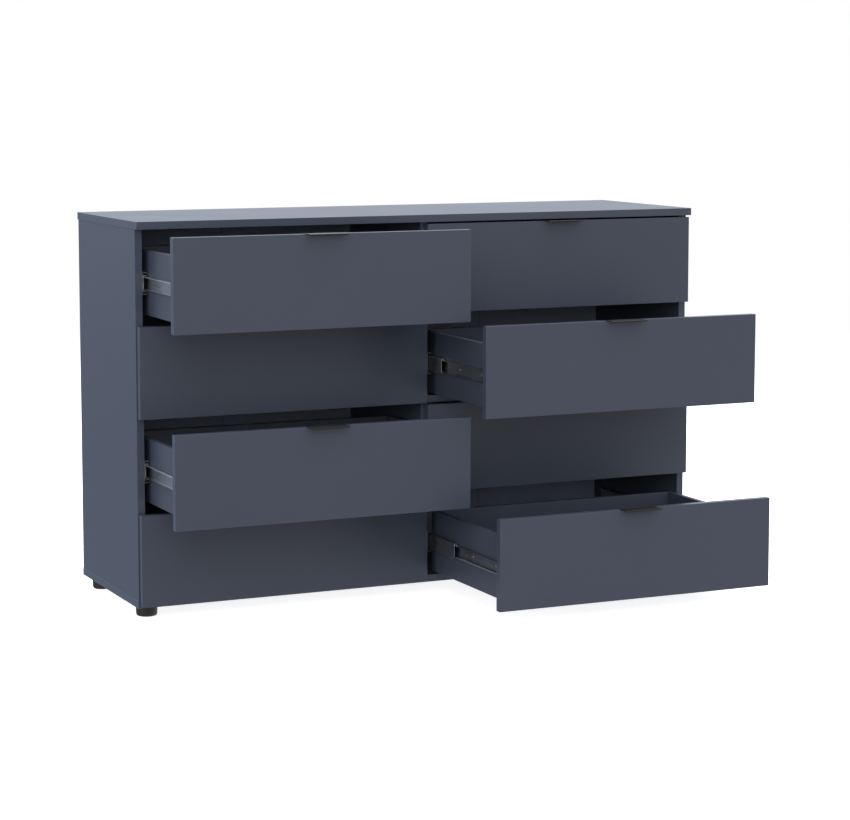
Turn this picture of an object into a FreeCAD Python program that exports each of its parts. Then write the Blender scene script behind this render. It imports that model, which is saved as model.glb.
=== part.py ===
"""A chest of eight drawers, four rows in two columns, with its drawers on telescopic ball slides.

The model is drawn in carcass coordinates: x is measured from the middle of the chest, positive to
the right; y from the front edges of the side panels, positive to the back; z from their lower
edges, positive up. save() then moves each piece so that the origin lies on the floor, in the
middle of the whole chest with its drawers standing open as OPENING says.
"""
import FreeCAD, Part
import os

Vector = FreeCAD.Vector
X_AXIS = Vector(1, 0, 0)
Y_AXIS = Vector(0, 1, 0)
Z_AXIS = Vector(0, 0, 1)

# Boards
BOARD = 16.0
DRAWER_BOARD = 12.0
HARDBOARD = 3.0

# Carcass
BODY_WIDTH = 1296.0
SIDE_DEPTH = 391.0
SIDE_HEIGHT = 784.0
TOP_WIDTH = 1300.0
TOP_OVERHANG_FRONT = 20.0
BOTTOM_WIDTH = 1298.0
BACK_REBATE = 9.0
RAIL_DEPTH = 80.0
RAIL_UNDERSIDE = 393.0

# Feet
FOOT_HEIGHT = 28.0
FOOT_TOP_RADIUS = 23.0
FOOT_SOLE_RADIUS = 22.0
FOOT_EDGE_ROUND = 3.5
FOOT_X = 612.0
FOOT_FRONT_Y = 59.0
FOOT_REAR_Y = 365.0

# Drawer fronts
ROWS = 4
FRONT_HEIGHT = 191.0
FRONT_PITCH = 194.4
LOWEST_FRONT = 5.8
FRONT_GAP = 2.0
FRONT_INSET = 2.25
COLUMN_GAP = 2.5

# Drawer boxes
SLIDE_SPACE = 13.0
BOX_END_Y = 354.0
BOX_LIFT = 17.5
BOX_HEIGHT = 133.0
BOTTOM_LIFT = 10.0
GROOVE = 5.0

# Handles: a folded plate on the top edge of the front
HANDLE_WIDTH = 85.0
HANDLE_SHEET = 1.2
HANDLE_BEND = 1.5
HANDLE_REACH = 22.5
HANDLE_HOLD = 7.5
HANDLE_LIP = 3.0
HANDLE_SCREW_SPACING = 64.0

# Telescopic slides, in three members. Reach is measured from the cabinet wall towards the drawer.
SLIDE_SHEET = 1.2
SLIDE_BEND = 2.2
SLIDE_LIFT = 83.7
CABINET_SPAN = (2.0, 352.0)
MIDDLE_SPAN = (4.0, 350.0)
DRAWER_SPAN = (2.0, 350.0)
CABINET_HALF_HEIGHT = 23.0
MIDDLE_HALF_HEIGHT = 17.2
DRAWER_HALF_HEIGHT = 13.85
CABINET_MOUTH = 10.5
MIDDLE_WEB = 2.8
MIDDLE_MOUTH = 10.4
DRAWER_MOUTH = 5.2
# each member as its web's reach, its mouth's reach, half its height and its lips' height
CABINET_MEMBER = (0.0, CABINET_MOUTH, CABINET_HALF_HEIGHT, 3.4)
MIDDLE_MEMBER = (MIDDLE_WEB, MIDDLE_MOUTH, MIDDLE_HALF_HEIGHT, 2.2)
DRAWER_MEMBER = (SLIDE_SPACE, DRAWER_MOUTH, DRAWER_HALF_HEIGHT, 2.2)
CAGE_LENGTH = 120.0
CAGE_CLEARANCE = 0.5
SLOT_PLACES = (50.5, 156.5)
SLOT_SIZE = (3.6, 9.0)
HOLE_PLACES = (69.5, 174.0, 313.0)
HOLE_RADIUS = 2.0

# Travel: the drawer moves on the middle member, and the middle member moves on the cabinet member
DRAWER_TRAVEL = 215.0
MIDDLE_TRAVEL = 133.0
OPENING = {
    ("left", 1): 215.0,
    ("right", 2): 282.0,
    ("left", 3): 215.0,
    ("right", 4): DRAWER_TRAVEL + MIDDLE_TRAVEL,
}

# Fasteners
SLIDE_SCREW_PLACES = (40.0, 146.0, 302.0)
SLIDE_SCREW_HEAD = (3.5, 1.0)
CABINET_SCREW_SHANK = (2.5, 7.0)
DRAWER_SCREW_SHANK = (1.75, 9.0)
HANDLE_SCREW_HEAD = (3.0, 0.9)
HANDLE_SCREW_SHANK = (1.25, 15.0)
CAM_RADIUS = 7.5
CAM_DEPTH = 12.5
CAM_SETBACK = 34.0
CAM_BOLT_RADIUS = 3.5
CAM_BOLT_GRIP = 11.0
CAM_EDGE_DISTANCE = 37.0
NAIL_HEAD = (2.0, 0.8)
NAIL_SHANK = (0.8, 18.0)
NAIL_SPACING = 98.0

# Worked out from the driving dimensions
OUTER_X = BODY_WIDTH / 2
INNER_X = OUTER_X - BOARD
PARTITION_X = BOARD / 2
BACK_FACE_Y = SIDE_DEPTH - HARDBOARD
FRONT_BACK_Y = -FRONT_GAP
FRONT_FACE_Y = FRONT_BACK_Y - BOARD
FRONT_WIDTH = OUTER_X - FRONT_INSET - COLUMN_GAP / 2
FLOOR_Z = -FOOT_HEIGHT
COLUMNS = {
    "left": {"walls": (-INNER_X, -PARTITION_X), "front_x": -OUTER_X + FRONT_INSET},
    "right": {"walls": (PARTITION_X, INNER_X), "front_x": COLUMN_GAP / 2},
}
FOREMOST_Y = FRONT_FACE_Y - HANDLE_REACH - max(OPENING.values())
MIDDLE_Y = (FOREMOST_Y + SIDE_DEPTH) / 2


def block(x, y, z):
    """A rectangular solid between two values on each axis."""
    size = [high - low for low, high in (x, y, z)]
    return Part.makeBox(*size, Vector(x[0], y[0], z[0]))


def pin(radius, length, start, direction):
    return Part.makeCylinder(radius, length, start, direction)


def screw(head, shank, face, direction):
    """A screw whose head stands on the point face, with its shank along direction."""
    head_radius, head_height = head
    shank_radius, shank_length = shank
    top = face - direction * head_height
    body = pin(head_radius, head_height, top, direction)
    return body.fuse(pin(shank_radius, shank_length, face, direction)).removeSplitter()


def seated(piece, fasteners):
    """The piece with a fitting hole for each fastener that enters it."""
    near = [f for f in fasteners if f.BoundBox.intersect(piece.BoundBox)]
    return piece.cut(near) if near else piece


def row_base(row):
    """Lower edge of the front in a row, counted from 1 at the top."""
    return LOWEST_FRONT + (ROWS - row) * FRONT_PITCH


def inward(column):
    """Each wall of a column, with the direction from it towards the drawer."""
    left_wall, right_wall = COLUMNS[column]["walls"]
    return ((left_wall, 1), (right_wall, -1))


def bent_block(x, y, z, radius):
    """A rectangular solid whose edges along y are rounded."""
    solid = block(x, y, z)
    edges = [e for e in solid.Edges if e.BoundBox.YLength > e.BoundBox.XLength + e.BoundBox.ZLength]
    return solid.makeFillet(radius, edges)


def rolled_channel(member, span, wall, side, height):
    """A rolled steel channel along y, with its web at one reach and lips turned in at its mouth."""
    web, mouth, half_height, lip = member
    step = SLIDE_SHEET if mouth > web else -SLIDE_SHEET

    def part_of_section(start, end, half):
        return sorted((wall + side * start, wall + side * end)), span, (height - half, height + half)

    outer = bent_block(*part_of_section(web, mouth, half_height), SLIDE_BEND)
    hollow = part_of_section(web + step, mouth - step, half_height - SLIDE_SHEET)
    opening = part_of_section(mouth - step, mouth + step, half_height - lip)
    return outer.cut([bent_block(*hollow, SLIDE_BEND - SLIDE_SHEET), block(*opening)])


def slide_heights():
    """Each slide on the carcass, as its wall, its direction and its centre height."""
    places = []
    for column in COLUMNS:
        for row in range(1, ROWS + 1):
            height = row_base(row) + SLIDE_LIFT
            places += [(wall, side, height) for wall, side in inward(column)]
    return places


def cabinet_screws():
    """Three screws hold each cabinet member to its wall."""
    screws = []
    for wall, side, height in slide_heights():
        for y in SLIDE_SCREW_PLACES:
            face = Vector(wall + side * SLIDE_SHEET, y, height)
            shank = (CABINET_SCREW_SHANK[0], CABINET_SCREW_SHANK[1] + SLIDE_SHEET)
            screws.append(screw(SLIDE_SCREW_HEAD, shank, face, X_AXIS * -side))
    return screws


def cabinet_members(screws):
    members = []
    for wall, side, height in slide_heights():
        member = rolled_channel(CABINET_MEMBER, CABINET_SPAN, wall, side, height)
        members.append(seated(member, screws))
    return members


def cam_fitting(centre, disc_axis, bolt_axis):
    """A cam disc let into a board's face, with its bolt running through the board's edge."""
    disc = pin(CAM_RADIUS, CAM_DEPTH, centre, disc_axis)
    middle = centre + disc_axis * (BOARD / 2)
    bolt = pin(CAM_BOLT_RADIUS, CAM_SETBACK + CAM_BOLT_GRIP, middle, bolt_axis)
    return disc.fuse(bolt).removeSplitter()


def cam_fittings():
    """The connectors that draw the carcass boards together."""
    fittings = []
    # uprights to the top and bottom panels, discs in the faces that look into the drawer bays
    for y in (CAM_EDGE_DISTANCE, BACK_FACE_Y - CAM_EDGE_DISTANCE):
        for face_x, side in ((-INNER_X, -1), (PARTITION_X, -1), (INNER_X, 1)):
            for end, up in ((BOARD, 1), (SIDE_HEIGHT, -1)):
                centre = Vector(face_x, y, end + up * CAM_SETBACK)
                fittings.append(cam_fitting(centre, X_AXIS * side, Z_AXIS * -up))
    # cross rails to their side panel, discs in the rails' undersides
    for side in (-1, 1):
        centre = Vector(side * (INNER_X - CAM_SETBACK), RAIL_DEPTH / 2, RAIL_UNDERSIDE)
        fittings.append(cam_fitting(centre, Z_AXIS, X_AXIS * side))
    return fittings


def spread(low, high):
    """Even places between two ends, about one nail spacing apart."""
    count = round((high - low) / NAIL_SPACING)
    return [low + (high - low) * i / count for i in range(count + 1)]


def back_nails():
    """Nails through the back boards into the edges of the boards that they cover."""
    side_line = INNER_X + BACK_REBATE / 2
    beside_middle = PARTITION_X / 2
    low_line = BOARD - BACK_REBATE / 2
    high_line = SIDE_HEIGHT + BACK_REBATE / 2
    places = []
    for z in spread(low_line, high_line)[1:-1]:
        places += [(x, z) for x in (-side_line, -beside_middle, beside_middle, side_line)]
    for x in spread(beside_middle, side_line):
        places += [(side * x, z) for side in (-1, 1) for z in (low_line, high_line)]
    face_y = SIDE_DEPTH - NAIL_HEAD[1]
    return [screw(NAIL_HEAD, NAIL_SHANK, Vector(x, face_y, z), Y_AXIS * -1) for x, z in places]


def back_boards():
    """Four thin boards, two to a column, that lie in a rebate all round the carcass."""
    edge = INNER_X + BACK_REBATE
    column_middle = (PARTITION_X + INNER_X) / 2
    joints = (-edge, -column_middle, 0.0, column_middle, edge)
    height = (BOARD - BACK_REBATE, SIDE_HEIGHT + BACK_REBATE)
    return [block(x, (BACK_FACE_Y, SIDE_DEPTH), height) for x in zip(joints, joints[1:])]


def feet():
    places = [(x, y) for x in (-FOOT_X, FOOT_X) for y in (FOOT_FRONT_Y, FOOT_REAR_Y)]
    places.append((0.0, (FOOT_FRONT_Y + FOOT_REAR_Y) / 2))
    made = []
    for x, y in places:
        foot = Part.makeCone(FOOT_SOLE_RADIUS, FOOT_TOP_RADIUS, FOOT_HEIGHT, Vector(x, y, FLOOR_Z))
        sole_edge = [e for e in foot.Edges if abs(e.BoundBox.ZMax - FLOOR_Z) < 0.01]
        made.append(foot.makeFillet(FOOT_EDGE_ROUND, sole_edge))
    return made


def carcass():
    """Every piece that stands still, by node name."""
    screws = cabinet_screws()
    cams = cam_fittings()
    nails = back_nails()
    fasteners = screws + cams + nails
    backs = back_boards()
    top = block(
        (-TOP_WIDTH / 2, TOP_WIDTH / 2),
        (-TOP_OVERHANG_FRONT, SIDE_DEPTH),
        (SIDE_HEIGHT, SIDE_HEIGHT + BOARD),
    )
    bottom = block((-BOTTOM_WIDTH / 2, BOTTOM_WIDTH / 2), (0, SIDE_DEPTH), (0, BOARD))
    upright = (BOARD, SIDE_HEIGHT)
    left_side = block((-OUTER_X, -INNER_X), (0, SIDE_DEPTH), upright)
    right_side = block((INNER_X, OUTER_X), (0, SIDE_DEPTH), upright)
    partition = block((-PARTITION_X, PARTITION_X), (0, BACK_FACE_Y), upright)
    rail_z = (RAIL_UNDERSIDE, RAIL_UNDERSIDE + BOARD)
    rails = [block(COLUMNS[column]["walls"], (0, RAIL_DEPTH), rail_z) for column in COLUMNS]
    return {
        "top_panel": [seated(top.cut(backs), fasteners)],
        "left_side_panel": [seated(left_side.cut(backs), fasteners)],
        "right_side_panel": [seated(right_side.cut(backs), fasteners)],
        "centre_partition": [seated(partition, fasteners)],
        "bottom_panel": [seated(bottom.cut(backs), fasteners)],
        "back_panels": [seated(board, nails) for board in backs],
        "cross_rails": [seated(rail, cams) for rail in rails],
        "cabinet_slide_members": cabinet_members(screws),
        "slide_screws": screws,
        "cam_fittings": cams,
        "back_panel_nails": nails,
        "feet": feet(),
    }


def middle_members(column, row):
    """The two middle members of a drawer's slides, with the ball cages that run beside them."""
    height = row_base(row) + SLIDE_LIFT
    outer_gap = (MIDDLE_HALF_HEIGHT, CABINET_HALF_HEIGHT - SLIDE_SHEET)
    inner_gap = (DRAWER_HALF_HEIGHT, MIDDLE_HALF_HEIGHT - SLIDE_SHEET)
    back = (MIDDLE_SPAN[1] - CAGE_LENGTH, MIDDLE_SPAN[1])
    front = (MIDDLE_SPAN[0], MIDDLE_SPAN[0] + CAGE_LENGTH)
    solids = []
    for wall, side in inward(column):
        solids.append(rolled_channel(MIDDLE_MEMBER, MIDDLE_SPAN, wall, side, height))
        inside_lips = SLIDE_SHEET + CAGE_CLEARANCE
        cages = (
            (outer_gap, (MIDDLE_WEB, CABINET_MOUTH - inside_lips), back),
            (inner_gap, (DRAWER_MOUTH, MIDDLE_MOUTH - inside_lips), front),
        )
        for (low, high), reach, span in cages:
            x = sorted(wall + side * r for r in reach)
            z = (low + CAGE_CLEARANCE, high - CAGE_CLEARANCE)
            for up in (-1, 1):
                solids.append(block(x, span, sorted(height + up * edge for edge in z)))
    return solids


def web_openings(face_x, height):
    """The upright slots and round holes in a drawer member's web, as solids to cut away."""
    width, length = SLOT_SIZE
    start_x = face_x - SLIDE_SPACE / 2
    openings = []
    for y in SLOT_PLACES:
        half = (length - width) / 2
        middle = block(
            (start_x, start_x + SLIDE_SPACE),
            (y - width / 2, y + width / 2),
            (height - half, height + half),
        )
        ends = [
            pin(width / 2, SLIDE_SPACE, Vector(start_x, y, height + offset), X_AXIS)
            for offset in (-half, half)
        ]
        openings.append(middle.fuse(ends).removeSplitter())
    for y in HOLE_PLACES:
        openings.append(pin(HOLE_RADIUS, SLIDE_SPACE, Vector(start_x, y, height), X_AXIS))
    return openings


def runners(column, row):
    """The two drawer members of a drawer's slides, each with the screws that hold it on."""
    height = row_base(row) + SLIDE_LIFT
    shank = (DRAWER_SCREW_SHANK[0], DRAWER_SCREW_SHANK[1] + SLIDE_SHEET)
    members, screws = [], []
    for wall, side in inward(column):
        inner_face = wall + side * (SLIDE_SPACE - SLIDE_SHEET)
        own = [
            screw(SLIDE_SCREW_HEAD, shank, Vector(inner_face, y, height), X_AXIS * side)
            for y in SLIDE_SCREW_PLACES
        ]
        member = rolled_channel(DRAWER_MEMBER, DRAWER_SPAN, wall, side, height)
        member = member.cut(web_openings(inner_face, height))
        members.append(seated(member, own))
        screws += own
    return members, screws


def lies_along_x(edge, y, z):
    box = edge.BoundBox
    reach = max(abs(box.YMin - y), abs(box.YMax - y), abs(box.ZMin - z), abs(box.ZMax - z))
    return reach < 0.001


def handle(column, row):
    """An edge pull: a plate on the front's top edge, folded down to a lip in front of it."""
    middle = COLUMNS[column]["front_x"] + FRONT_WIDTH / 2
    base = row_base(row) + FRONT_HEIGHT
    top = base + HANDLE_SHEET
    x = (middle - HANDLE_WIDTH / 2, middle + HANDLE_WIDTH / 2)
    nose = FRONT_FACE_Y - HANDLE_REACH
    plate = block(x, (nose, FRONT_FACE_Y + HANDLE_HOLD), (base, top))
    lip = block(x, (nose, nose + HANDLE_SHEET), (top - HANDLE_LIP, base))
    screws = []
    for offset in (-HANDLE_SCREW_SPACING / 2, HANDLE_SCREW_SPACING / 2):
        face = Vector(middle + offset, FRONT_FACE_Y + HANDLE_HOLD / 2, top - HANDLE_SCREW_HEAD[1])
        screws.append(screw(HANDLE_SCREW_HEAD, HANDLE_SCREW_SHANK, face, Z_AXIS * -1))
    pull = plate.fuse(lip).removeSplitter()
    fold = [e for e in pull.Edges if lies_along_x(e, nose, top)]
    return seated(pull.makeFillet(HANDLE_BEND, fold), screws), screws


def drawer(column, row):
    """One drawer, closed, as solids by the last part of their node's name."""
    left_wall, right_wall = COLUMNS[column]["walls"]
    outer = (left_wall + SLIDE_SPACE, right_wall - SLIDE_SPACE)
    inner = (outer[0] + DRAWER_BOARD, outer[1] - DRAWER_BOARD)
    base = row_base(row)
    box_z = (base + BOX_LIFT, base + BOX_LIFT + BOX_HEIGHT)
    box_y = (FRONT_BACK_Y, BOX_END_Y)
    back_y = (BOX_END_Y - DRAWER_BOARD, BOX_END_Y)
    members, runner_screws = runners(column, row)
    pull, pull_screws = handle(column, row)

    bottom = block(
        (inner[0] - GROOVE, inner[1] + GROOVE),
        (FRONT_BACK_Y - GROOVE, back_y[0] + GROOVE),
        (box_z[0] + BOTTOM_LIFT, box_z[0] + BOTTOM_LIFT + HARDBOARD),
    )
    sides = [block((outer[0], inner[0]), box_y, box_z), block((inner[1], outer[1]), box_y, box_z)]
    back = block(inner, back_y, box_z)
    front_x = COLUMNS[column]["front_x"]
    front = block(
        (front_x, front_x + FRONT_WIDTH),
        (FRONT_FACE_Y, FRONT_BACK_Y),
        (base, base + FRONT_HEIGHT),
    )
    return {
        "front": [seated(front.cut(bottom), pull_screws)],
        "box": [seated(board.cut(bottom), runner_screws) for board in (*sides, back)],
        "bottom": [bottom],
        "handle": [pull, *pull_screws],
        "runners": members + runner_screws,
    }


def save(name, solids, forward=0.0):
    """Write one node, moved forward by a drawer's or slide's opening, in the chest's own frame."""
    shape = Part.makeCompound(solids) if len(solids) > 1 else solids[0]
    shape.translate(Vector(0, -MIDDLE_Y - forward, FOOT_HEIGHT))
    shape.exportStep(os.path.join("parts", name + ".step"))


def main():
    os.makedirs("parts", exist_ok=True)
    for name, solids in carcass().items():
        save(name, solids)
    for column in COLUMNS:
        for row in range(1, ROWS + 1):
            label = f"drawer_{column}_{row}"
            opening = OPENING.get((column, row), 0.0)
            for name, solids in drawer(column, row).items():
                save(f"{label}_{name}", solids, opening)
            middle_opening = max(0.0, opening - DRAWER_TRAVEL)
            save(f"{label}_middle_slides", middle_members(column, row), middle_opening)


main()
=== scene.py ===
import math

import bmesh
import bpy
from mathutils import Matrix, Vector


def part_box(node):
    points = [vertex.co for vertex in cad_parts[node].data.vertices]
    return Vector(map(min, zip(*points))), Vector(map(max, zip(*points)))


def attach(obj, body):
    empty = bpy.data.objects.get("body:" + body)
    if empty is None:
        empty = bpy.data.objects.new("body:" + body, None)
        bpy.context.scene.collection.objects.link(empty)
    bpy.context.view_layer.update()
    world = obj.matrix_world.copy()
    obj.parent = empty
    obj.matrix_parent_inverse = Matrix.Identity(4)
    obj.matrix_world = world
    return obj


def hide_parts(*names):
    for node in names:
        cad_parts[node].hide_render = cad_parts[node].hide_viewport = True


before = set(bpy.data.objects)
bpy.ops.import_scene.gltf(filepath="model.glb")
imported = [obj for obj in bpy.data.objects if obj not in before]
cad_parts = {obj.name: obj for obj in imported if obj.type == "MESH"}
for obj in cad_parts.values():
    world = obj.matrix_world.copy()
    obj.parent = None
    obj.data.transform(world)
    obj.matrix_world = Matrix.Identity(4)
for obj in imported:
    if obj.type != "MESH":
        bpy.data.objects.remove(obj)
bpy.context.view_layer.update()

MM = 0.001

# The camera, in the chest's own frame
CAMERA_PLACE = Vector((-2.1891, -4.7597, 1.1138))
CAMERA_YAW = math.radians(24.723)
CAMERA_PITCH = math.radians(6.111)
CAMERA_LENS = 103.719
CAMERA_SENSOR = 36.0
CAMERA_SHIFT_Y = -0.08
CAMERA_REACH = 60.0

# Colours, as linear reflectance
GRAPHITE = (0.030, 0.038, 0.058)
GRAPHITE_FOIL = (0.031, 0.039, 0.058)
GRAPHITE_SHEET = (0.026, 0.033, 0.050)
# The back boards' inside facing: the chest's slate lightened far past GRAPHITE, painted light for the
# dim inside of the chest
SLATE_WITH_PAINTED_LIGHT = (0.21, 0.25, 0.35)
RAW_FIBRE = (0.150, 0.098, 0.060)
ZINC = (0.36, 0.37, 0.385)
BLACK_POWDER = (0.0078, 0.0068, 0.0060)
BLACK_PLASTIC = (0.0050, 0.0042, 0.0044)
DUST = (0.014, 0.013, 0.0135)
FLOOR = (0.80, 0.80, 0.80)
FLOOR_ROUGHNESS = 0.9
FLOOR_LIFT = 1.02
FLOOR_FADE = (2.2, 6.0)
FLOOR_SIZE = 14.0

# Refractive indices
LACQUER_IOR = 1.5
FIBRE_IOR = 1.48
POWDER_IOR = 1.36
PLASTIC_IOR = 1.47

# Texture sizes, as features to the metre
CLOUDS = 2.3
WIPES = 5.0
MOTTLE = 9.0
HAZE = 22.0
DUST_SPECKS = 60.0
ORANGE_PEEL = 190.0
SPANGLE = 260.0
FIBRES = 260.0
FLOW_MARKS = 330.0
ROLLING_STREAKS = 420.0
PEARL = 620.0
MESH_PRINT = 700.0
PITS = 900.0
SPECKS = 1400.0
GRAINS = 1500.0
# The middle span of a noise's values
MOST = (0.3, 0.7)

# Texture depths
PEEL_DEPTH = 0.035 * MM
PEARL_DEPTH = 0.022 * MM
SEAM_DEPTH = 0.05 * MM
FIBRE_DEPTH = 0.06 * MM
JOINT_DEPTH = 0.3 * MM
STREAK_DEPTH = 0.006 * MM
SKIN_DEPTH = 0.03 * MM

# Sides of the round pieces
SMALL_ROUND = 24
HANDLE_SCREW_ROUND = 28
COVER_ROUND = 32
FOOT_ROUND = 64

# The middle of a column of drawers, where two back boards meet
COLUMN_MIDDLE = 320.0 * MM

# Board edges
FACE_ROUNDING = 0.6 * MM
EDGE_BAND = 0.8 * MM
SEAM_WIDTH = 0.22 * MM
SHEET_JOINT_WIDTH = (0.25 * MM, 0.7 * MM)
CORNER_ANGLE = math.radians(30.0)
CREASE = math.radians(40.0)
BEND_CREASE = math.radians(50.0)
SHORTEST_EDGE = 9.0 * MM
WELD = 0.002 * MM
ROUNDING_STEPS = 3

# A Mix node's sockets when it mixes colours
FIRST_COLOUR = 6
SECOND_COLOUR = 7
MIXED_COLOUR = 2

DRAWERS = [f"drawer_{column}_{row}" for column in ("left", "right") for row in (1, 2, 3, 4)]


# ---------------------------------------------------------------- shader helpers


class Shader:
    """A material's node tree, with a Principled shader and short ways to add nodes to it."""

    def __init__(self, name):
        self.material = bpy.data.materials.new(name)
        self.material.use_nodes = True
        self.tree = self.material.node_tree
        self.principled = self.tree.nodes["Principled BSDF"]
        self.place = self.add("ShaderNodeTexCoord").outputs["Object"]

    def add(self, kind, inputs=None, **settings):
        node = self.tree.nodes.new(kind)
        for key, value in settings.items():
            setattr(node, key, value)
        for key, value in (inputs or {}).items():
            self.feed(node.inputs[key], value)
        return node

    def feed(self, socket, value):
        if isinstance(value, bpy.types.NodeSocket):
            self.tree.links.new(value, socket)
        elif hasattr(value, "__len__") and len(value) == 3 and socket.type == "RGBA":
            socket.default_value = (*value, 1.0)
        else:
            socket.default_value = value

    def set(self, **inputs):
        """Feed the Principled shader, with _ for a space in a socket's name."""
        for key, value in inputs.items():
            self.feed(self.principled.inputs[key.replace("_", " ")], value)

    def stretched(self, scale):
        """The object's coordinates, scaled along each axis."""
        return self.add("ShaderNodeMapping", {"Vector": self.place, "Scale": scale}).outputs[0]

    def noise(self, scale, detail=2.0, roughness=0.5, vector=None):
        inputs = {
            "Vector": vector or self.place,
            "Scale": scale,
            "Detail": detail,
            "Roughness": roughness,
        }
        return self.add("ShaderNodeTexNoise", inputs).outputs["Fac"]

    def cells(self, scale, output="Distance"):
        inputs = {"Vector": self.place, "Scale": scale}
        return self.add("ShaderNodeTexVoronoi", inputs).outputs[output]

    def between(self, value, low, high, start=0.0, end=1.0, smooth=False):
        """The value, taken from the span start..end to the span low..high."""
        inputs = {"Value": value, "From Min": start, "From Max": end, "To Min": low, "To Max": high}
        kind = "SMOOTHSTEP" if smooth else "LINEAR"
        return self.add("ShaderNodeMapRange", inputs, interpolation_type=kind).outputs["Result"]

    def colour_part(self, colour, part):
        return self.add("ShaderNodeSeparateColor", {"Color": colour}).outputs[part]

    def axis_part(self, vector, axis):
        return self.add("ShaderNodeSeparateXYZ", {"Vector": vector}).outputs[axis]

    def math(self, operation, first, second=0.0):
        return self.add("ShaderNodeMath", {0: first, 1: second}, operation=operation).outputs[0]

    def mixed(self, factor, first, second):
        node = self.add("ShaderNodeMix", data_type="RGBA")
        self.feed(node.inputs[0], factor)
        self.feed(node.inputs[FIRST_COLOUR], first)
        self.feed(node.inputs[SECOND_COLOUR], second)
        return node.outputs[MIXED_COLOUR]

    def bump(self, height, distance, normal=None):
        inputs = {"Height": height, "Distance": distance, "Strength": 1.0}
        if normal is not None:
            inputs["Normal"] = normal
        return self.add("ShaderNodeBump", inputs).outputs[0]


def shaded(colour, factor):
    return tuple(c * factor for c in colour)


# ---------------------------------------------------------------- materials


def board_seams(shader, size):
    """How far a point is from the nearest edge band's glue line, from 1 on the line to 0."""
    share = shader.add("ShaderNodeTexCoord").outputs["Generated"]
    nearest = None
    thinnest = min(size)
    for axis, length in enumerate(size):
        if length == thinnest:
            continue
        from_low = shader.math("MULTIPLY", shader.axis_part(share, axis), length)
        from_high = shader.math("SUBTRACT", length, from_low)
        to_edge = shader.math("MINIMUM", from_low, from_high)
        nearest = to_edge if nearest is None else shader.math("MINIMUM", nearest, to_edge)
    off_line = shader.math("ABSOLUTE", shader.math("SUBTRACT", nearest, EDGE_BAND))
    line = shader.between(off_line, 1.0, 0.0, 0.0, SEAM_WIDTH, smooth=True)
    band = shader.between(nearest, 1.0, 0.0, EDGE_BAND * 0.9, EDGE_BAND * 1.1)
    return line, band


def lacquered_board(name, colour, size=None, roughness=0.36, pearl=1.0):
    """Satin board: a fine pearl emboss, faint clouds in the colour and hand-smooth gloss changes."""
    shader = Shader(name)
    cloud = shader.noise(CLOUDS, detail=3.0, roughness=0.55)
    speck = shader.noise(SPECKS, detail=1.0)
    base = shader.mixed(cloud, shaded(colour, 0.94), shaded(colour, 1.06))
    fleck = shader.between(speck, 0.0, 0.35, 0.55, 0.75)
    base = shader.mixed(fleck, base, shaded(colour, 1.35))
    upright = shader.stretched((1.0, 1.0, 0.45))
    wipe = shader.noise(WIPES, detail=4.0, roughness=0.6, vector=upright)
    gloss = shader.between(wipe, roughness - 0.015, roughness + 0.02, *MOST)
    pearl_cells = shader.cells(PEARL)
    peel = shader.noise(ORANGE_PEEL)
    normal = shader.bump(peel, PEEL_DEPTH)
    normal = shader.bump(pearl_cells, PEARL_DEPTH * pearl, normal=normal)
    if size:
        line, band = board_seams(shader, size)
        base = shader.mixed(shader.math("MULTIPLY", line, 0.55), base, shaded(colour, 0.35))
        base = shader.mixed(shader.math("MULTIPLY", band, 0.30), base, shaded(colour, 1.25))
        gloss = shader.math("ADD", gloss, shader.math("MULTIPLY", band, -0.06))
        normal = shader.bump(shader.math("SUBTRACT", 1.0, line), SEAM_DEPTH, normal=normal)
    shader.set(Base_Color=base, Roughness=gloss, Normal=normal, IOR=LACQUER_IOR)
    return shader.material


def back_sheet(name):
    """Hardboard in butted widths: faced inside with a slate colour lightened far past the carcass
    graphite, as painted light for the dim inside of the chest, raw pressed fibre outside.
    """
    shader = Shader(name)
    facing = shader.add("ShaderNodeTexCoord").outputs["Normal"]
    outside = shader.between(shader.axis_part(facing, "Y"), 0.0, 1.0, 0.3, 0.6)
    upright = shader.stretched((1.0, 1.0, 0.35))
    fibre = shader.noise(FIBRES, detail=5.0, roughness=0.7, vector=upright)
    mottle = shader.noise(MOTTLE, detail=4.0, roughness=0.6)
    wood = shader.mixed(fibre, shaded(RAW_FIBRE, 0.62), shaded(RAW_FIBRE, 1.30))
    wood = shader.mixed(shader.between(mottle, 0.0, 0.6, 0.35, 0.7), wood, shaded(RAW_FIBRE, 0.80))
    # The inside facing, in a lightened slate that paints light into the dim inside of the chest
    paint = shader.mixed(mottle, shaded(SLATE_WITH_PAINTED_LIGHT, 0.92), shaded(SLATE_WITH_PAINTED_LIGHT, 1.08))
    mesh_print = shader.noise(MESH_PRINT, detail=1.0)
    from_middle = shader.math("ABSOLUTE", shader.axis_part(shader.place, "X"))
    from_joint = shader.math("ABSOLUTE", shader.math("SUBTRACT", from_middle, COLUMN_MIDDLE))
    nearest = shader.math("MINIMUM", from_middle, from_joint)
    joint = shader.between(nearest, 1.0, 0.0, *SHEET_JOINT_WIDTH, smooth=True)
    colour = shader.mixed(outside, paint, wood)
    colour = shader.mixed(shader.math("MULTIPLY", joint, 0.85), colour, shaded(GRAPHITE, 0.2))
    rough = shader.between(outside, 0.42, 0.82)
    height = shader.mixed(outside, mesh_print, fibre)
    normal = shader.bump(height, FIBRE_DEPTH)
    normal = shader.bump(shader.math("SUBTRACT", 1.0, joint), JOINT_DEPTH, normal=normal)
    shader.set(Base_Color=colour, Roughness=rough, Normal=normal, IOR=FIBRE_IOR)
    return shader.material


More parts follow.
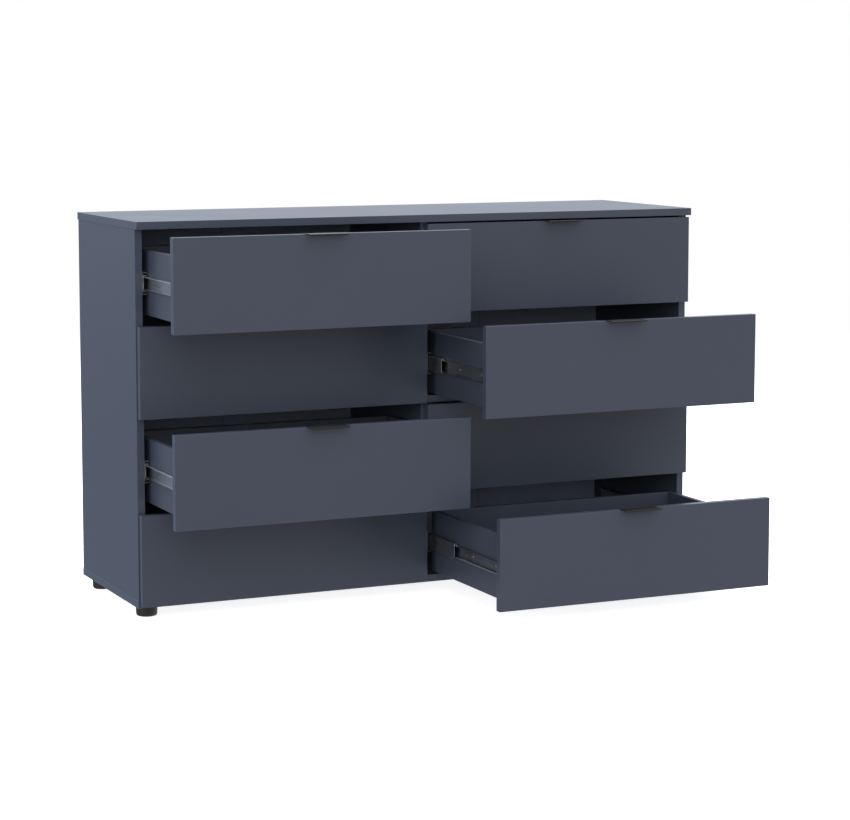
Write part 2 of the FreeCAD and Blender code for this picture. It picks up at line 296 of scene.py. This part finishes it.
def zinc_plate(name, colour=ZINC, roughness=0.30, along=(1.0, 0.02, 1.0)):
    """Zinc-plated rolled steel: streaks along the rolling, a blue passivate haze and faint spangle."""
    shader = Shader(name)
    streaks = shader.stretched(along)
    streak = shader.noise(ROLLING_STREAKS, detail=4.0, roughness=0.6, vector=streaks)
    tone = shader.colour_part(shader.cells(SPANGLE, output="Color"), 0)
    haze = shader.noise(HAZE, detail=3.0)
    base = shader.mixed(streak, shaded(colour, 0.90), shaded(colour, 1.08))
    base = shader.mixed(shader.between(tone, 0.0, 0.18), base, shaded(colour, 1.18))
    blue = (colour[0] * 0.82, colour[1] * 0.92, colour[2] * 1.05)
    base = shader.mixed(shader.between(haze, 0.0, 0.55, 0.4, 0.7), base, blue)
    rough = shader.between(streak, roughness - 0.04, roughness + 0.06, *MOST)
    rough = shader.math("ADD", rough, shader.between(haze, -0.03, 0.06, *MOST))
    normal = shader.bump(streak, STREAK_DEPTH)
    shader.set(Base_Color=base, Metallic=1.0, Roughness=rough, Normal=normal)
    return shader.material


def powder_coat(name):
    """Black powder coat: a fine dry texture with slightly polished high spots."""
    shader = Shader(name)
    grains = shader.noise(GRAINS, detail=3.0, roughness=0.6)
    flow = shader.noise(FLOW_MARKS)
    base = shader.mixed(grains, shaded(BLACK_POWDER, 0.75), shaded(BLACK_POWDER, 1.6))
    rough = shader.between(grains, 0.20, 0.32, *MOST)
    normal = shader.bump(flow, SKIN_DEPTH)
    normal = shader.bump(grains, SKIN_DEPTH, normal=normal)
    shader.set(Base_Color=base, Roughness=rough, Normal=normal, IOR=POWDER_IOR)
    return shader.material


def moulded_plastic(name):
    """Black moulded plastic with a spark-eroded skin and a little dust."""
    shader = Shader(name)
    skin = shader.cells(GRAINS)
    pits = shader.noise(PITS)
    dust = shader.noise(DUST_SPECKS, detail=5.0, roughness=0.7)
    dusty = shader.between(dust, 0.0, 0.35, 0.5, 0.8)
    base = shader.mixed(pits, shaded(BLACK_PLASTIC, 0.8), shaded(BLACK_PLASTIC, 1.25))
    base = shader.mixed(dusty, base, DUST)
    rough = shader.between(pits, 0.48, 0.62, *MOST)
    normal = shader.bump(skin, SKIN_DEPTH)
    shader.set(Base_Color=base, Roughness=rough, Normal=normal, IOR=PLASTIC_IOR)
    return shader.material


def node_size(node):
    low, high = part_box(node)
    return tuple(high - low)


# ---------------------------------------------------------------- finishing the CAD pieces


def edge_finder(name):
    """Geometry nodes that join split corners and mark each long sharp edge for rounding."""
    group = bpy.data.node_groups.new(name, "GeometryNodeTree")
    group.interface.new_socket("Geometry", in_out="INPUT", socket_type="NodeSocketGeometry")
    group.interface.new_socket("Geometry", in_out="OUTPUT", socket_type="NodeSocketGeometry")
    nodes, links = group.nodes, group.links

    def add(kind, **settings):
        node = nodes.new(kind)
        for key, value in settings.items():
            setattr(node, key, value)
        return node

    start = add("NodeGroupInput")
    merge = add("GeometryNodeMergeByDistance")
    merge.inputs["Distance"].default_value = WELD
    plain = add("GeometryNodeRemoveAttribute")
    plain.inputs["Name"].default_value = "custom_normal"
    smooth = add("GeometryNodeSetShadeSmooth", domain="FACE")
    smooth.inputs["Shade Smooth"].default_value = True

    angle = add("GeometryNodeInputMeshEdgeAngle")
    sharp = add("FunctionNodeCompare", data_type="FLOAT", operation="GREATER_THAN")
    sharp.inputs[1].default_value = CORNER_ANGLE
    ends = add("GeometryNodeInputMeshEdgeVertices")
    length = add("ShaderNodeVectorMath", operation="DISTANCE")
    long_edge = add("FunctionNodeCompare", data_type="FLOAT", operation="GREATER_THAN")
    long_edge.inputs[1].default_value = SHORTEST_EDGE
    both = add("FunctionNodeBooleanMath", operation="AND")
    crease = add("GeometryNodeSetShadeSmooth", domain="EDGE")
    crease.inputs["Shade Smooth"].default_value = False
    store = add("GeometryNodeStoreNamedAttribute", data_type="FLOAT", domain="EDGE")
    store.inputs["Name"].default_value = "bevel_weight_edge"
    finish = add("NodeGroupOutput")

    links.new(start.outputs[0], merge.inputs["Geometry"])
    links.new(merge.outputs[0], plain.inputs["Geometry"])
    links.new(plain.outputs[0], smooth.inputs["Geometry"])
    links.new(smooth.outputs[0], crease.inputs["Geometry"])
    links.new(crease.outputs[0], store.inputs["Geometry"])
    links.new(store.outputs[0], finish.inputs[0])
    links.new(angle.outputs["Unsigned Angle"], sharp.inputs[0])
    links.new(ends.outputs["Position 1"], length.inputs[0])
    links.new(ends.outputs["Position 2"], length.inputs[1])
    links.new(length.outputs["Value"], long_edge.inputs[0])
    links.new(sharp.outputs[0], both.inputs[0])
    links.new(long_edge.outputs[0], both.inputs[1])
    links.new(sharp.outputs[0], crease.inputs["Selection"])
    links.new(both.outputs[0], store.inputs["Value"])
    return group


BOARD_EDGES = edge_finder("board_edges")


def flat_faces(piece):
    """Keep a rounded piece's large faces flat in the light."""
    normals = piece.modifiers.new("flat_faces", "WEIGHTED_NORMAL")
    normals.keep_sharp = True
    normals.weight = 100


def round_edges(node):
    """Round a CAD board's long edges."""
    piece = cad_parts[node]
    finder = piece.modifiers.new("edges", "NODES")
    finder.node_group = BOARD_EDGES
    bevel = piece.modifiers.new("rounding", "BEVEL")
    bevel.limit_method = "WEIGHT"
    bevel.width = FACE_ROUNDING
    bevel.segments = ROUNDING_STEPS
    bevel.use_clamp_overlap = False
    bevel.loop_slide = False
    flat_faces(piece)


def paint(node, material):
    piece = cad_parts[node]
    if piece.material_slots:
        piece.material_slots[0].material = material
    else:
        piece.data.materials.append(material)


BOARD_NODES = ("top_panel", "left_side_panel", "right_side_panel", "centre_partition", "bottom_panel")


def dress_carcass():
    for node in BOARD_NODES:
        paint(node, lacquered_board(node + "_board", GRAPHITE, node_size(node)))
        round_edges(node)
    paint("cross_rails", lacquered_board("rail_board", GRAPHITE))
    round_edges("cross_rails")
    paint("back_panels", back_sheet("back_sheet"))


def dress_drawers(steel, screws, coat, plastic):
    front_size = node_size("drawer_left_1_front")
    front = lacquered_board("front_board", GRAPHITE, front_size, roughness=0.34)
    board = lacquered_board("drawer_foil", GRAPHITE_FOIL, roughness=0.42, pearl=0.6)
    sheet = lacquered_board("drawer_bottom_sheet", GRAPHITE_SHEET, roughness=0.46, pearl=1.4)
    for label in DRAWERS:
        paint(label + "_front", front)
        paint(label + "_bottom", sheet)
        paint(label + "_runners", steel)
        paint(label + "_middle_slides", steel)
        round_edges(label + "_front")
        make_drawer_box(label, board)
        make_bumpers(label, plastic)
        make_handle(label, coat, screws)
        make_runner_screws(label, screws)


# ---------------------------------------------------------------- pieces made here


def join_piece(name, sheet, material, body, replaced=None, crease=CREASE):
    """Turn mesh work into a piece that rides on a body, with its flat faces kept flat."""
    mesh = bpy.data.meshes.new(name)
    bmesh.ops.recalc_face_normals(sheet, faces=sheet.faces)
    sheet.to_mesh(mesh)
    sheet.free()
    mesh.polygons.foreach_set("use_smooth", [True] * len(mesh.polygons))
    mesh.set_sharp_from_angle(angle=crease)
    piece = bpy.data.objects.new(name, mesh)
    bpy.context.scene.collection.objects.link(piece)
    piece.data.materials.append(material)
    flat_faces(piece)
    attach(piece, body)
    if replaced:
        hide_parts(replaced)
    return piece


def soften(sheet, edges, width, steps):
    bmesh.ops.bevel(sheet, geom=edges, offset=width, segments=steps, profile=0.5, affect="EDGES")


def add_slab(sheet, low, high):
    """A board between two corners, with every edge rounded."""
    middle = (Vector(low) + Vector(high)) / 2
    size = Vector(high) - Vector(low)
    place = Matrix.Translation(middle) @ Matrix.Diagonal((*size, 1.0))
    made = bmesh.ops.create_cube(sheet, size=1.0, matrix=place)
    edges = {edge for vertex in made["verts"] for edge in vertex.link_edges}
    soften(sheet, list(edges), BOX_ROUNDING, ROUNDING_STEPS)


def ring(sheet, radius, height, turn, count):
    """Vertices round the local z axis, turned and placed by a matrix."""
    made = []
    for i in range(count):
        angle = math.tau * i / count
        point = Vector((radius * math.cos(angle), radius * math.sin(angle), height))
        made.append(sheet.verts.new(turn @ point))
    return made


def bridge(sheet, lower, upper):
    for i in range(len(lower)):
        j = (i + 1) % len(lower)
        sheet.faces.new((lower[i], lower[j], upper[j], upper[i]))


def standing_on(place, axis):
    """A matrix whose local z axis is axis and whose origin is place."""
    return Matrix.Translation(place) @ Vector(axis).to_track_quat("Z", "Y").to_matrix().to_4x4()


def add_turned(sheet, turn, profile, count=SMALL_ROUND, recess=None):
    """A turned solid, from its (radius, height) profile from the base up.

    A recess is a cross's arm, half width and depth, sunk into the top.
    """
    rings = [ring(sheet, radius, height, turn, count) for radius, height in profile]
    sheet.faces.new(rings[0][::-1])
    for lower, upper in zip(rings, rings[1:]):
        bridge(sheet, lower, upper)
    if recess is None:
        sheet.faces.new(rings[-1])
        return
    arm, half, depth = recess
    top = profile[-1][1]
    corners = []
    for quarter in range(4):
        spin = Matrix.Rotation(math.tau * quarter / 4, 3, "Z")
        corners += [spin @ Vector(p) for p in ((arm, -half, 0), (arm, half, 0), (half, half, 0))]
    lift = Vector((0, 0, top))
    sink = Vector((0, 0, top - depth))
    mouth = [sheet.verts.new(turn @ (corner + lift)) for corner in corners]
    floor = [sheet.verts.new(turn @ (corner * RECESS_TAPER + sink)) for corner in corners]
    for first, second in zip(mouth, mouth[1:] + mouth[:1]):
        sheet.edges.new((first, second))
    rim = [sheet.edges.get((a, b)) for a, b in zip(rings[-1], rings[-1][1:] + rings[-1][:1])]
    cross = [sheet.edges.get((a, b)) for a, b in zip(mouth, mouth[1:] + mouth[:1])]
    bmesh.ops.triangle_fill(sheet, edges=rim + cross, use_beauty=True)
    bridge(sheet, mouth, floor)
    sheet.faces.new(floor)


def dome(radius, height, edge=0.35):
    """A low domed profile: a short upright rim, then an arc over to a small flat middle."""
    rim = height * edge
    profile = [(radius, 0.0), (radius, rim)]
    for i in range(1, DOME_STEPS + 1):
        angle = math.pi / 2 * i / DOME_STEPS * DOME_SHARE
        profile.append((radius * math.cos(angle), rim + (height - rim) * math.sin(angle)))
    return profile


def shared(vertex):
    """A vertex's place to the micrometre, which is the same for corners that touch."""
    return tuple(round(c, 6) for c in vertex.co)


def islands(node):
    """The boxes of a CAD node's separate solids, lowest and highest corner of each."""
    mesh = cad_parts[node].data
    links = {}
    for vertex in mesh.vertices:
        links.setdefault(shared(vertex), len(links))
    parent = list(range(len(links)))

    def root(i):
        while parent[i] != i:
            parent[i] = parent[parent[i]]
            i = parent[i]
        return i

    key = [links[shared(vertex)] for vertex in mesh.vertices]
    for edge in mesh.edges:
        first, second = (root(key[i]) for i in edge.vertices)
        parent[first] = second
    groups = {}
    for vertex, k in zip(mesh.vertices, key):
        groups.setdefault(root(k), []).append(vertex.co)
    boxes = []
    for points in groups.values():
        low = Vector(min(p[axis] for p in points) for axis in range(3))
        high = Vector(max(p[axis] for p in points) for axis in range(3))
        boxes.append((low, high))
    return boxes


# Drawer box: its boards, the covers over its fittings and the fronts' bumpers
DRAWER_BOARD = 12.0 * MM
BOX_ROUNDING = 0.8 * MM
COVER_RADIUS = 8.5 * MM
COVER_HEIGHT = 1.1 * MM
COVER_SETBACK = 26.0 * MM
COVER_INSET = 30.0 * MM
BUMPER_RADIUS = 3.6 * MM
BUMPER_HEIGHT = 1.8 * MM
BUMPER_LIFT = 33.0 * MM
BUMPER_FROM_MIDDLE = 5.2 * MM

# Handles: a sheet folded at the nose
HANDLE_SHEET = 1.2 * MM
HANDLE_BEND = 1.5 * MM
HANDLE_LIP = 3.0 * MM
HANDLE_ROUNDING = 0.18 * MM
HANDLE_STEPS = 2
OUTER_BEND_STEPS = 6
INNER_BEND_STEPS = 3
FOLD_CORNER = math.radians(60.0)
HANDLE_SCREW_SPACING = 64.0 * MM
HANDLE_HOLD = 7.5 * MM

# Feet, from the sole up: how far each ring stands in from the full radius, and its height
FOOT_PROFILE = (
    (-6.0, 0.0),
    (-4.5, 0.25),
    (-2.9, 0.9),
    (-1.8, 2.0),
    (-1.1, 3.6),
    (-0.8, 6.0),
    (-0.3, 21.6),
    (-0.9, 22.0),
    (-0.9, 22.8),
    (-0.2, 23.2),
    (0.0, 24.0),
    (0.0, 28.0),
)

# Screws: on the slides, and in the handles
SCREW_PLACES = (38.0 * MM, 144.0 * MM, 300.0 * MM)
SLIDE_SHEET = 1.2 * MM
RUNNER_HEAD = (3.6 * MM, 1.7 * MM)
RUNNER_RECESS = 0.65 * MM
CABINET_HEAD_HEIGHT = 1.0 * MM
CABINET_SHANK = ((0.4 * MM, -8.2 * MM), (2.0 * MM, -6.0 * MM), (2.0 * MM, 0.0))
HANDLE_HEAD_RADIUS = 2.9 * MM
HANDLE_HEAD_LIFT = 0.1 * MM
RECESS_ARM = 0.52
RECESS_HALF = 0.15
RECESS_SHARE = 0.62
RECESS_TAPER = 0.8
DOME_STEPS = 5
DOME_SHARE = 0.85


def make_drawer_box(label, foil):
    """Two sides and a back, with cover caps over the fittings that hold the front."""
    low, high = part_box(label + "_box")
    sheet = bmesh.new()
    t = DRAWER_BOARD
    add_slab(sheet, low, (low.x + t, high.y, high.z))
    add_slab(sheet, (high.x - t, low.y, low.z), high)
    add_slab(sheet, (low.x + t, high.y - t, low.z), (high.x - t, high.y, high.z))
    join_piece(label + "_box_boards", sheet, foil, label, label + "_box")

    caps = bmesh.new()
    for x, side in ((low.x + t, 1), (high.x - t, -1)):
        for z in (low.z + COVER_INSET, high.z - COVER_INSET):
            turn = standing_on((x, low.y + COVER_SETBACK, z), (side, 0, 0))
            add_turned(caps, turn, dome(COVER_RADIUS, COVER_HEIGHT), count=COVER_ROUND)
    join_piece(label + "_fitting_covers", caps, foil, label)


def make_bumpers(label, plastic):
    """Two soft discs on the front's back face, which meet the carcass when the drawer is shut."""
    low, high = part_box(label + "_front")
    side_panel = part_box("left_side_panel" if low.x + high.x < 0 else "right_side_panel")
    panel_x = (side_panel[0].x + side_panel[1].x) / 2
    middle_x = math.copysign(BUMPER_FROM_MIDDLE, panel_x)
    sheet = bmesh.new()
    for x in (panel_x, middle_x):
        turn = standing_on((x, high.y, low.z + BUMPER_LIFT), (0, 1, 0))
        add_turned(sheet, turn, dome(BUMPER_RADIUS, BUMPER_HEIGHT))
    join_piece(label + "_bumpers", sheet, plastic, label)


def arc(centre, radius, start, end, steps):
    """Points on an arc, as (y, z), between two angles in degrees."""
    angles = [math.radians(start + (end - start) * i / steps) for i in range(steps + 1)]
    return [(centre[0] + radius * math.cos(a), centre[1] + radius * math.sin(a)) for a in angles]


def is_corner(edge):
    return len(edge.link_faces) == 2 and edge.calc_face_angle() > FOLD_CORNER


def cross_recess(radius, depth):
    """The arm, half width and depth of the cross in a screw's head."""
    return (radius * RECESS_ARM, radius * RECESS_HALF, depth)


def make_handle(label, coat, zinc):
    """A folded edge pull: a plate that rests on the front's edge, bent down to a short lip."""
    low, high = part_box(label + "_handle")
    nose, back, top = low.y, high.y, high.z
    inner = HANDLE_BEND - HANDLE_SHEET
    bend = (nose + HANDLE_BEND, top - HANDLE_BEND)
    section = [(back, top)]
    section += arc(bend, HANDLE_BEND, 90, 180, OUTER_BEND_STEPS)
    section += [(nose, top - HANDLE_LIP), (nose + HANDLE_SHEET, top - HANDLE_LIP)]
    section += arc(bend, inner, 180, 90, INNER_BEND_STEPS)
    section += [(back, top - HANDLE_SHEET)]
    sheet = bmesh.new()
    ends = [[sheet.verts.new((x, y, z)) for y, z in section] for x in (low.x, high.x)]
    bridge(sheet, ends[0], ends[1])
    faces = [sheet.faces.new(ends[0][::-1]), sheet.faces.new(ends[1])]
    rims = {edge for face in faces for edge in face.edges}
    along = [edge for edge in sheet.edges if edge not in rims and is_corner(edge)]
    soften(sheet, list(rims) + along, HANDLE_ROUNDING, HANDLE_STEPS)
    join_piece(label + "_pull", sheet, coat, label, label + "_handle", BEND_CREASE)

    heads = bmesh.new()
    middle = (low.x + high.x) / 2
    profile = ((HANDLE_HEAD_RADIUS, 0.0), (HANDLE_HEAD_RADIUS, HANDLE_HEAD_LIFT))
    for offset in (-HANDLE_SCREW_SPACING / 2, HANDLE_SCREW_SPACING / 2):
        place = (middle + offset, back - HANDLE_HOLD / 2, top - HANDLE_HEAD_LIFT)
        add_turned(heads, standing_on(place, (0, 0, 1)), profile, count=HANDLE_SCREW_ROUND)
    join_piece(label + "_pull_screws", heads, zinc, label)


def make_feet(plastic):
    """Moulded feet: a flange under the chest, a waist line, a tapered drum and a rounded sole."""
    sheet = bmesh.new()
    for low, high in islands("feet"):
        middle = (low + high) / 2
        radius = (high.x - low.x) / 2
        turn = standing_on((middle.x, middle.y, low.z), (0, 0, 1))
        profile = [(radius + inset * MM, height * MM) for inset, height in FOOT_PROFILE]
        add_turned(sheet, turn, profile, count=FOOT_ROUND)
    join_piece("feet_moulded", sheet, plastic, "carcass", "feet", BEND_CREASE)


def make_slide_screws(zinc):
    """Pan-head screws that hold the cabinet members to their walls."""
    sheet = bmesh.new()
    for low, high in islands("slide_screws"):
        middle = (low + high) / 2
        side = 1 if middle.x < math.copysign(COLUMN_MIDDLE, middle.x) else -1
        face_x = (high.x if side > 0 else low.x) - side * CABINET_HEAD_HEIGHT
        radius = (high.z - low.z) / 2
        turn = standing_on((face_x, middle.y, middle.z), (side, 0, 0))
        profile = [*CABINET_SHANK, *dome(radius, CABINET_HEAD_HEIGHT, edge=0.4)]
        recess = cross_recess(radius, CABINET_HEAD_HEIGHT * RECESS_SHARE)
        add_turned(sheet, turn, profile, recess=recess)
    join_piece("slide_screws_cross", sheet, zinc, "carcass", "slide_screws")


def make_runner_screws(label, zinc):
    """Pan heads over the screws that hold the drawer members to the drawer's sides."""
    low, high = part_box(label + "_runners")
    box_low, box_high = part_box(label + "_box")
    sheet = bmesh.new()
    middle_z = (low.z + high.z) / 2
    recess = cross_recess(RUNNER_HEAD[0], RUNNER_RECESS)
    for wall_x, side in ((box_low.x, -1), (box_high.x, 1)):
        for place in SCREW_PLACES:
            turn = standing_on((wall_x + side * SLIDE_SHEET, low.y + place, middle_z), (side, 0, 0))
            add_turned(sheet, turn, dome(*RUNNER_HEAD), recess=recess)
    join_piece(label + "_runner_screw_heads", sheet, zinc, label)


# ---------------------------------------------------------------- stage


def make_floor():
    """A wide pale floor, level with the feet."""
    mesh = bpy.data.meshes.new("floor")
    sheet = bmesh.new()
    bmesh.ops.create_grid(sheet, x_segments=2, y_segments=2, size=FLOOR_SIZE)
    sheet.to_mesh(mesh)
    sheet.free()
    floor = bpy.data.objects.new("floor", mesh)
    bpy.context.scene.collection.objects.link(floor)
    shader = Shader("floor_paper")
    shader.set(Base_Color=FLOOR, Roughness=FLOOR_ROUGHNESS)
    shader.set(Emission_Color=FLOOR, Emission_Strength=FLOOR_LIFT)
    reach = shader.add("ShaderNodeVectorMath", {0: shader.place}, operation="LENGTH").outputs["Value"]
    fade = shader.between(reach, 0.0, 1.0, *FLOOR_FADE, smooth=True)
    clear = shader.add("ShaderNodeBsdfTransparent").outputs[0]
    mix = shader.add("ShaderNodeMixShader", {0: fade, 1: shader.principled.outputs[0], 2: clear})
    output = shader.tree.nodes["Material Output"]
    shader.tree.links.new(mix.outputs[0], output.inputs["Surface"])
    floor.data.materials.append(shader.material)
    floor.visible_diffuse = False
    floor.visible_glossy = False


def soft_light(name, place, size, power, colour):
    """A square soft box that looks at the middle of the chest."""
    data = bpy.data.lights.new(name, "AREA")
    data.shape = "SQUARE"
    data.size = size
    data.energy = power
    data.color = colour
    light = bpy.data.objects.new(name, data)
    light.location = place
    aim = LIGHT_TARGET - Vector(place)
    light.rotation_euler = aim.to_track_quat("-Z", "Y").to_euler()
    bpy.context.scene.collection.objects.link(light)


# The room, from each side: a direction, then its glow above and below the floor line
HORIZON = (-0.08, 0.04)
GLOWS = (
    ((0.0, 1.0, 0.0), (0.80, 0.88, 1.01), (0.27, 0.32, 0.43)),
    ((0.0, -1.0, 0.0), (0.77, 0.79, 0.77), (0.30, 0.26, 0.24)),
    ((-1.0, 0.0, 0.0), (0.85, 0.92, 1.02), (0.23, 0.26, 0.31)),
    ((1.0, 0.0, 0.0), (0.87, 0.92, 0.99), (1.43, 1.54, 1.72)),
    ((0.0, 0.0, 1.0), (2.72, 2.76, 2.90), (0.0, 0.0, 0.0)),
    ((0.0, 0.0, -1.0), (0.0, 0.0, 0.0), (1.34, 1.26, 1.24)),
)
LIGHT_TARGET = Vector((0.0, 0.0, 0.4))
LIGHTS = (
    ("front_light", (-2.5, -5.5, 2.5), 3.0, 153.0, (1.0, 0.94, 0.89)),
    ("left_light", (-5.0, -1.5, 1.0), 2.0, 77.0, (1.0, 0.98, 0.98)),
)


def light_stage():
    scene = bpy.context.scene
    world = bpy.data.worlds.new("studio")
    world.use_nodes = True
    tree = world.node_tree

    def add(kind, *inputs, **settings):
        """A node with its first inputs fed from sockets or values, and its first output."""
        node = tree.nodes.new(kind)
        for key, value in settings.items():
            setattr(node, key, value)
        for socket, value in zip(node.inputs, inputs):
            if isinstance(value, bpy.types.NodeSocket):
                tree.links.new(value, socket)
            else:
                socket.default_value = value
        return node.outputs[0]

    def mix(factor, first, second, blend="MIX"):
        node = tree.nodes.new("ShaderNodeMix")
        node.data_type = "RGBA"
        node.blend_type = blend
        tree.links.new(factor, node.inputs[0])
        for socket, value in zip(node.inputs[FIRST_COLOUR:], (first, second)):
            if isinstance(value, bpy.types.NodeSocket):
                tree.links.new(value, socket)
            else:
                socket.default_value = (*value, 1.0)
        return node.outputs[MIXED_COLOUR]

    direction = add("ShaderNodeTexCoord")
    split = tree.nodes.new("ShaderNodeSeparateXYZ")
    tree.links.new(direction, split.inputs[0])
    above = add("ShaderNodeMapRange", split.outputs["Z"], *HORIZON, interpolation_type="SMOOTHSTEP")
    light = (0.0, 0.0, 0.0)
    for side, high, low in GLOWS:
        facing = tree.nodes.new("ShaderNodeVectorMath")
        facing.operation = "DOT_PRODUCT"
        tree.links.new(direction, facing.inputs[0])
        facing.inputs[1].default_value = side
        ahead = add("ShaderNodeMath", facing.outputs["Value"], 0.0, operation="MAXIMUM")
        soft = add("ShaderNodeMath", ahead, 2.0, operation="POWER")
        light = mix(soft, light, mix(above, low, high), "ADD")
    room = add("ShaderNodeBackground", light)
    backdrop = add("ShaderNodeBackground", (1.0, 1.0, 1.0, 1.0))
    seen = tree.nodes.new("ShaderNodeLightPath").outputs["Is Camera Ray"]
    shown = add("ShaderNodeMixShader", seen, room, backdrop)
    tree.links.new(shown, tree.nodes["World Output"].inputs["Surface"])
    scene.world = world
    for lamp in LIGHTS:
        soft_light(*lamp)
    scene.view_settings.view_transform = "Standard"


def place_camera():
    data = bpy.data.cameras.new("camera")
    data.lens = CAMERA_LENS
    data.sensor_width = CAMERA_SENSOR
    data.shift_y = CAMERA_SHIFT_Y
    data.clip_end = CAMERA_REACH
    camera = bpy.data.objects.new("camera", data)
    camera.location = CAMERA_PLACE
    camera.rotation_euler = (math.pi / 2 - CAMERA_PITCH, 0.0, -CAMERA_YAW)
    bpy.context.scene.collection.objects.link(camera)
    bpy.context.scene.camera = camera


# ---------------------------------------------------------------- the chest


steel = zinc_plate("slide_zinc")
# Screw, cam and nail zinc: the slide zinc darkened to 45% to dim the glints on the heads, a painted
# shade copy of one material
screw_zinc_painted_shade = zinc_plate("screw_zinc_painted_shade", shaded(ZINC, 0.45), roughness=0.55, along=(1.0, 1.0, 1.0))
coat = powder_coat("handle_coat")
plastic = moulded_plastic("foot_mould")

dress_carcass()
dress_drawers(steel, screw_zinc_painted_shade, coat, plastic)
make_slide_screws(screw_zinc_painted_shade)
paint("cabinet_slide_members", steel)
paint("cam_fittings", screw_zinc_painted_shade)
paint("back_panel_nails", screw_zinc_painted_shade)
make_feet(plastic)

make_floor()
light_stage()
place_camera()
